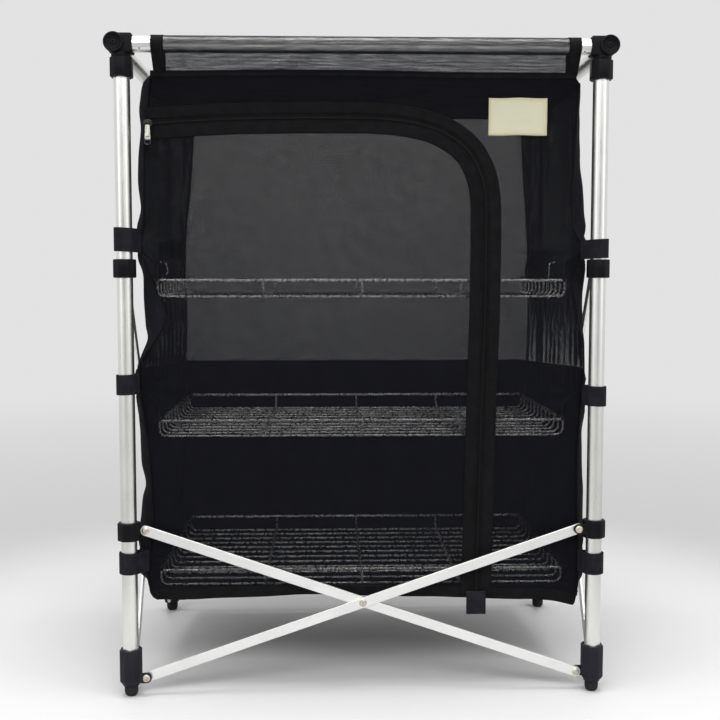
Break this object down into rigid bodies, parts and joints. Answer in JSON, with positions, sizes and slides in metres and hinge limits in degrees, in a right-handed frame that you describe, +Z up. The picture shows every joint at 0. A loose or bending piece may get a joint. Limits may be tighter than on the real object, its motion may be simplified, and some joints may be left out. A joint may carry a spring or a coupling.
{
  "type": "camp net rack",
  "caption": "Folding aluminium camp rack with crossed braces, a zipped net cover hung from its rails and wire trays inside.",
  "frame": {"origin": "on the floor under the middle of the rack", "axes": "+X to the right as the door is faced, +Y to the back, +Z up"},
  "size_m": [0.601, 0.3684, 0.7904],
  "materials": {
    "tube_aluminium": "satin anodised tube",
    "bar_aluminium": "satin flat bar",
    "rivet_nickel": "nickel-plated rivet",
    "black_nylon": "moulded nylon, fine satin grain",
    "black_rubber": "matte",
    "steel_wire": "bright drawn wire",
    "black_net": "fine see-through polyester net",
    "black_cloth": "plain-weave polyester",
    "black_webbing": "zip tape and webbing",
    "cream_patch": "bare woven patch",
    "zip_metal": "die-cast, satin"
  },
  "bodies": {
    "frame": {"leg_front_left": "tube_aluminium", "top_hub_front_left": "black_nylon", "hub_cap_front_left": "black_nylon", "foot_hub_front_left": "black_nylon", "foot_pad_front_left": "black_rubber", "lower_collar_front_left": "black_nylon", "upper_collar_front_left": "black_nylon", "leg_front_right": "tube_aluminium", "top_hub_front_right": "black_nylon", "hub_cap_front_right": "black_nylon", "foot_hub_front_right": "black_nylon", "foot_pad_front_right": "black_rubber", "lower_collar_front_right": "black_nylon", "upper_collar_front_right": "black_nylon", "leg_back_right": "tube_aluminium", "top_hub_back_right": "black_nylon", "hub_cap_back_right": "black_nylon", "foot_hub_back_right": "black_nylon", "foot_pad_back_right": "black_rubber", "lower_collar_back_right": "black_nylon", "upper_collar_back_right": "black_nylon", "leg_back_left": "tube_aluminium", "top_hub_back_left": "black_nylon", "hub_cap_back_left": "black_nylon", "foot_hub_back_left": "black_nylon", "foot_pad_back_left": "black_rubber", "lower_collar_back_left": "black_nylon", "upper_collar_back_left": "black_nylon", "rail_front": "tube_aluminium", "brace_front_rising": "bar_aluminium", "brace_front_falling": "bar_aluminium", "brace_rivet_front": "rivet_nickel", "rail_back": "tube_aluminium", "brace_back_rising": "bar_aluminium", "brace_back_falling": "bar_aluminium", "brace_rivet_back": "rivet_nickel", "rail_left": "tube_aluminium", "brace_left_rising": "bar_aluminium", "brace_left_falling": "bar_aluminium", "brace_rivet_left": "rivet_nickel", "rail_right": "tube_aluminium", "brace_right_rising": "bar_aluminium", "brace_right_falling": "bar_aluminium", "brace_rivet_right": "rivet_nickel", "cover_front": "black_net", "cover_back": "black_net", "cover_side_left": "black_net", "cover_side_right": "black_net", "cover_top": "black_cloth", "cover_floor": "black_cloth", "zip_tape": "black_webbing", "zip_tab": "black_webbing", "label_patch": "cream_patch"},
    "door": {"cover_door": "black_net"},
    "slider": {"zip_slider": "zip_metal"},
    "pull": {"zip_pull": "zip_metal"},
    "tray_top": {"tray_top": "steel_wire"},
    "tray_middle": {"tray_middle": "steel_wire"},
    "tray_bottom": {"tray_bottom": "steel_wire"}
  },
  "joints": [
    {"name": "zip_run", "type": "slide", "parent": "frame", "child": "slider", "axis": [0.9997, 0, 0.0224], "range_m": [0, 0.29]},
    {"name": "zip_pull_swing", "type": "hinge", "parent": "slider", "child": "pull", "pos_m": [-0.2538, -0.1639, 0.68934], "axis": [-1, 0, 0], "range_deg": [0, 100]},
    {"name": "door_draw", "type": "slide", "parent": "frame", "child": "door", "axis": [-1, 0, 0], "range_m": [0, 0.29], "deforming": ["cover_door"]},
    {"name": "tray_top_lift", "type": "slide", "parent": "frame", "child": "tray_top", "axis": [0, 0, 1], "range_m": [0, 0.02]},
    {"name": "tray_middle_lift", "type": "slide", "parent": "frame", "child": "tray_middle", "axis": [0, 0, 1], "range_m": [0, 0.02]},
    {"name": "tray_bottom_lift", "type": "slide", "parent": "frame", "child": "tray_bottom", "axis": [0, 0, 1], "range_m": [0, 0.02]}
  ]
}
